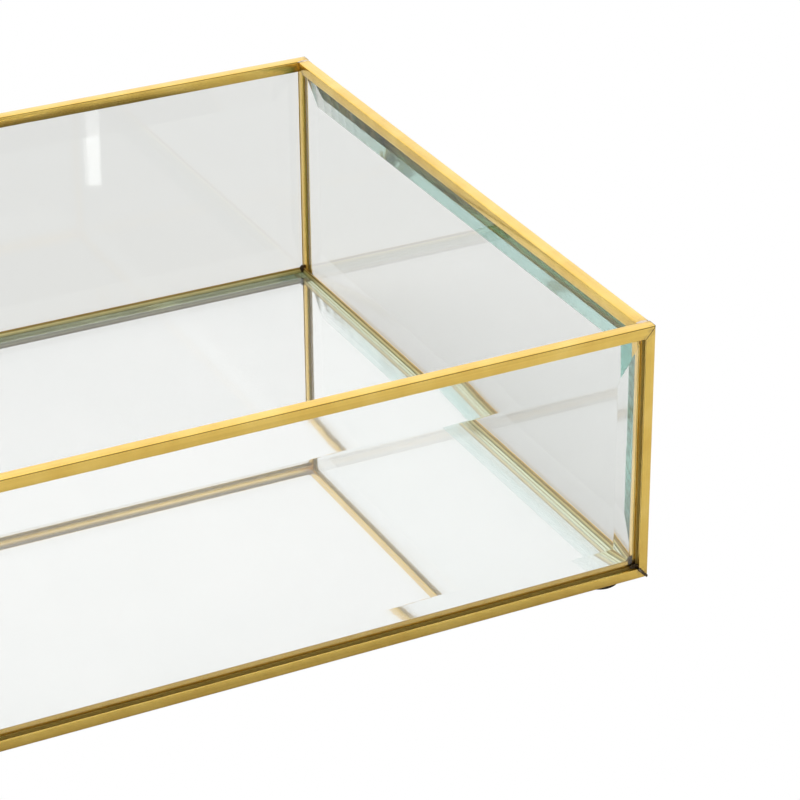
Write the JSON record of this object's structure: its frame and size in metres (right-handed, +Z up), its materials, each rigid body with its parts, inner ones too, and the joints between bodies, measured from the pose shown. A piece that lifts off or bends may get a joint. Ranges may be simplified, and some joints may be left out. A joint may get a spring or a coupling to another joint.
{
  "type": "vanity tray",
  "caption": "Rectangular dresser tray with bevelled clear glass walls in folded brass channel and a mirrored floor on small rubber feet.",
  "frame": {"origin": "middle of the footprint, on the plane that the four feet stand on", "axes": "+X along the length to the right, +Y from the front to the back, +Z up"},
  "size_m": [0.3, 0.2, 0.0738],
  "materials": {
    "brass": "lengthwise brushed, satin, a little tarnish at the joints",
    "wall_glass": "clear polished float glass with bevelled edges",
    "mirror_glass": "clear polished float glass",
    "silvering": "silvered",
    "backing": "matte",
    "solder": "dull, tinned",
    "rubber": "matte"
  },
  "bodies": {
    "root": {"front_glass": "wall_glass", "right_glass": "wall_glass", "back_glass": "wall_glass", "left_glass": "wall_glass", "front_top_channel": "brass", "right_top_channel": "brass", "back_top_channel": "brass", "left_top_channel": "brass", "front_bottom_channel": "brass", "right_bottom_channel": "brass", "back_bottom_channel": "brass", "left_bottom_channel": "brass", "front_left_upright": "brass", "right_front_upright": "brass", "back_right_upright": "brass", "left_back_upright": "brass", "front_right_upright": "brass", "right_back_upright": "brass", "back_left_upright": "brass", "left_front_upright": "brass", "front_ledge": "brass", "right_ledge": "brass", "back_ledge": "brass", "left_ledge": "brass", "mirror_glass": "mirror_glass", "mirror_silvering": "silvering", "backing_sheet": "backing", "front_left_solder": "solder", "front_right_solder": "solder", "back_right_solder": "solder", "back_left_solder": "solder", "front_left_foot": "rubber", "front_right_foot": "rubber", "back_right_foot": "rubber", "back_left_foot": "rubber"}
  },
  "joints": []
}
